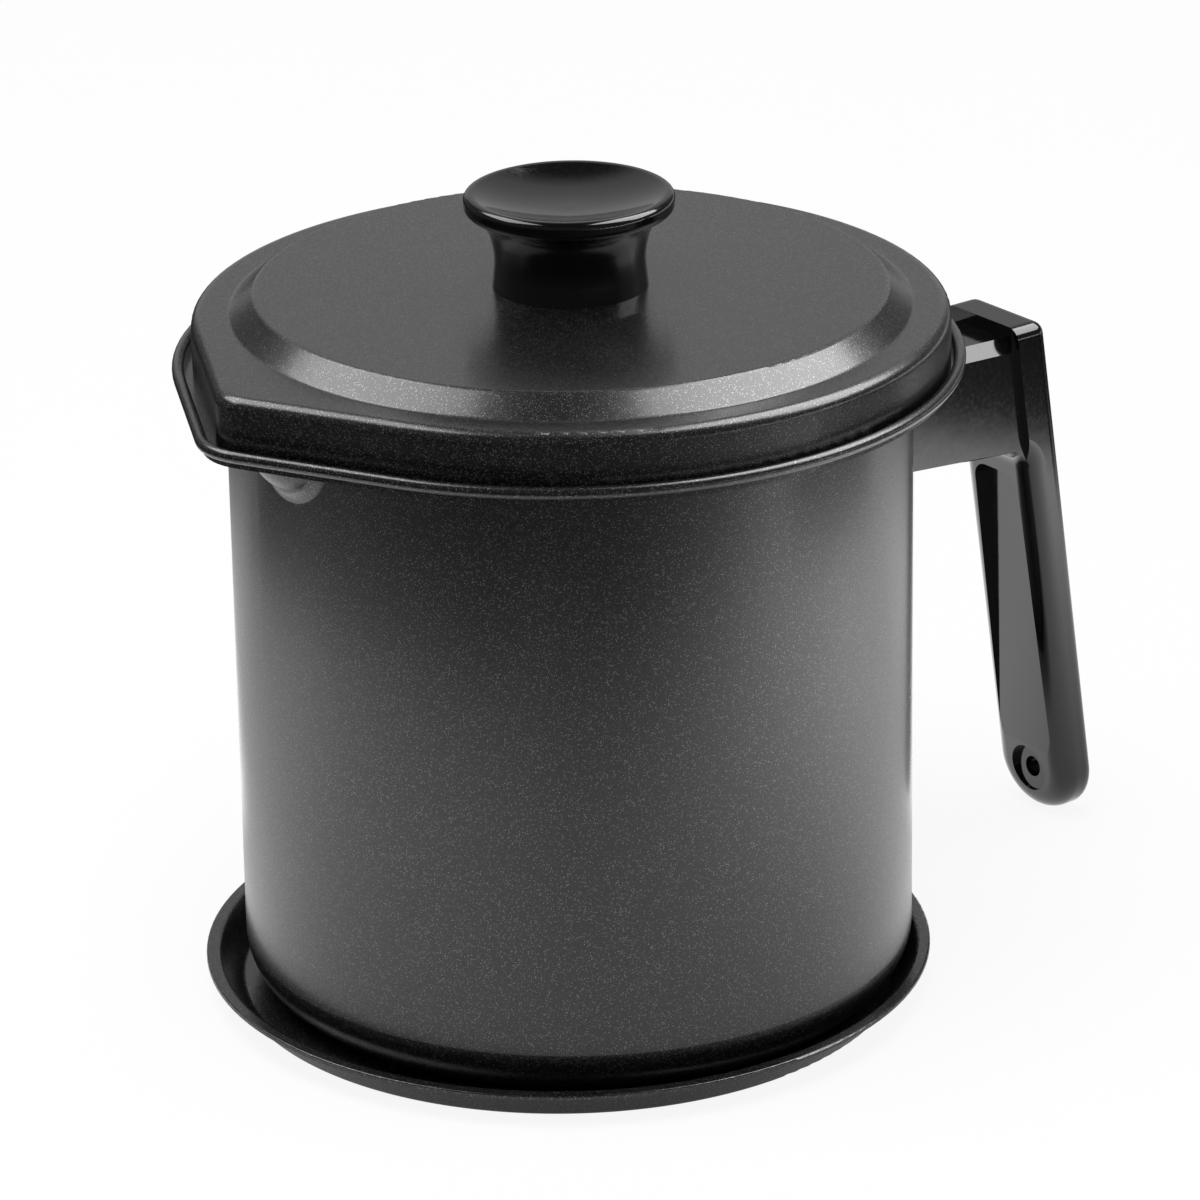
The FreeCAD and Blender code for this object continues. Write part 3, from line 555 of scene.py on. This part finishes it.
def table_light(place):
    """How bright the table is in reflections, by the place on it."""
    back_edge = (-30 * MM, 120 * MM)
    back_darkening = 0.4
    side = place.along(rightward)
    back = place.along(level)
    pool = pool_of_light(side, back)
    light = pool * gain_to_sides(side)
    light *= 1 - back.fade(*back_edge) * back_darkening
    light *= 1 - left_end(side, back, place.distance((0, 0, 0)))
    light *= 1 - right_end(side, back)
    return tray_shade(place) * (light + pool * light_behind(side, back))


print("table light round", [round(value / MM, 1) for value in tray_middle], "mm")

# %% [markdown]
# ## The table
# The table is a pale disc. The camera has to see it nearly white, and it has to keep the
# pot's soft shadow, so what is seen is a weak matt paint plus an even glow. Reflections see
# the pool of light. Everything else, which is light that bounces off the table onto the
# pot, meets a plain pale matt surface.

# %% Table
def make_table_paint():
    """Nearly white to the eye, a pool of light in reflections and plain to other rays."""
    bounce_colour = grey(0.80)
    shadow_colour = grey(0.11)
    glow_strength = 0.90

    finish = Finish("pale_table")
    shiny = finish.ray("Glossy")
    seen = finish.ray("Camera").most(finish.ray("Transmission")).most(shiny)
    plain = finish.node("ShaderNodeBsdfDiffuse", None, {"Color": bounce_colour})
    faint = finish.node("ShaderNodeBsdfDiffuse", None, {"Color": shadow_colour})
    inputs = {"Color": grey(1.0), "Strength": glow_strength}
    glow = finish.node("ShaderNodeEmission", None, inputs)
    pool = finish.node("ShaderNodeEmission", None, {"Color": table_light(finish.place)})
    pale = finish.node("ShaderNodeAddShader", None, {0: faint, 1: glow})
    lit = finish.node("ShaderNodeMixShader", None, {0: shiny, 1: pale, 2: pool})
    mixed = finish.node("ShaderNodeMixShader", None, {0: seen, 1: plain, 2: lit})
    finish.node("ShaderNodeOutputMaterial", None, {"Surface": mixed})
    finish.owner.cycles.emission_sampling = "NONE"
    return finish.owner


def make_table():
    """A pale round disc just below the tray."""
    table_radius = 4.0
    table_gap = 0.05 * MM
    disc = bmesh.new()
    bmesh.ops.create_circle(disc, cap_ends=True, segments=96, radius=table_radius)
    piece = add_mesh("table", disc, make_table_paint())
    piece.location = (0, 0, cad_low[2] - table_gap)
    return piece


table = make_table()
print("table at", round(table.location.z / MM, 2), "mm")

# %% [markdown]
# ## The lamps
# Two wide panels of light hang over the table, left and right, with a gap between them that
# keeps the middle of every glossy edge dark. They only show in reflections. A soft lamp
# lights what is matt, so that each colour looks as it is written, and makes the shadow.

# %% Lamps
def add_lamp(name, width, radiance, across, back, high):
    """A lamp that faces down, placed in metres to the right, to the back and up."""
    depth = 1.2
    lamp = bpy.data.lights.new(name, "AREA")
    lamp.shape = "RECTANGLE"
    lamp.size = width
    lamp.size_y = depth
    lamp.energy = radiance * math.pi * width * depth
    holder = bpy.data.objects.new(name, lamp)
    holder.location = rightward * across + level * back + overhead * high
    holder.rotation_euler = (0, 0, -camera_turn)
    holder.visible_camera = False
    bpy.context.scene.collection.objects.link(holder)
    return holder


left_panel = add_lamp("left_panel", width=1.0, radiance=5.8, across=-0.86, back=0.34, high=1.2)
right_panel = add_lamp("right_panel", width=1.7, radiance=8.5, across=1.10, back=0.34, high=1.2)
for panel in (left_panel, right_panel):
    panel.visible_diffuse = False
soft_lamp = add_lamp("soft_lamp", width=1.2, radiance=5.5, across=-0.3, back=-0.5, high=1.9)
soft_lamp.visible_glossy = False
print("two panels and a soft lamp")

# %% [markdown]
# ## The room
# To the eye the room is white, like the table. In reflections it is dim, a little less so
# low down than overhead, and a brighter screen stands behind the pot, which the top of the
# lid and the knob reflect. Each pair of numbers says where an edge starts and ends, as a
# part of a direction's length.

# %% Room
def light_room():
    """White to the eye, and in reflections a dim room with a bright screen at the back."""
    screen_strength = 0.51
    screen_front = (0.0, 0.2)
    screen_side = (0.3, 0.5)
    screen_top = (0.6, 0.8)
    overhead_strength = 0.04
    wall_strength = 0.096
    wall_top = (0.5, 0.9)
    bounce_strength = 0.4

    room = Shader(bpy.data.worlds.new("room"))
    way = room.node("ShaderNodeTexCoord", out="Generated")
    high = way.along(overhead)
    screen = way.along(level).fade(*screen_front) * screen_strength
    screen *= 1 - way.along(rightward).size().fade(*screen_side)
    screen *= 1 - high.fade(*screen_top)
    walls = overhead_strength + (1 - high.fade(*wall_top)) * wall_strength
    shiny = room.ray("Glossy")
    seen = room.ray("Camera").most(room.ray("Transmission"))
    other = 1 - seen.most(shiny)
    strength = seen + shiny * screen.most(walls) + other * bounce_strength
    inputs = {"Color": grey(1.0), "Strength": strength}
    light = room.node("ShaderNodeBackground", None, inputs)
    room.node("ShaderNodeOutputWorld", None, {"Surface": light})
    room.owner.cycles.sampling_method = "NONE"
    bpy.context.scene.world = room.owner


light_room()
bpy.context.scene.view_settings.view_transform = "Standard"
print("room lit")
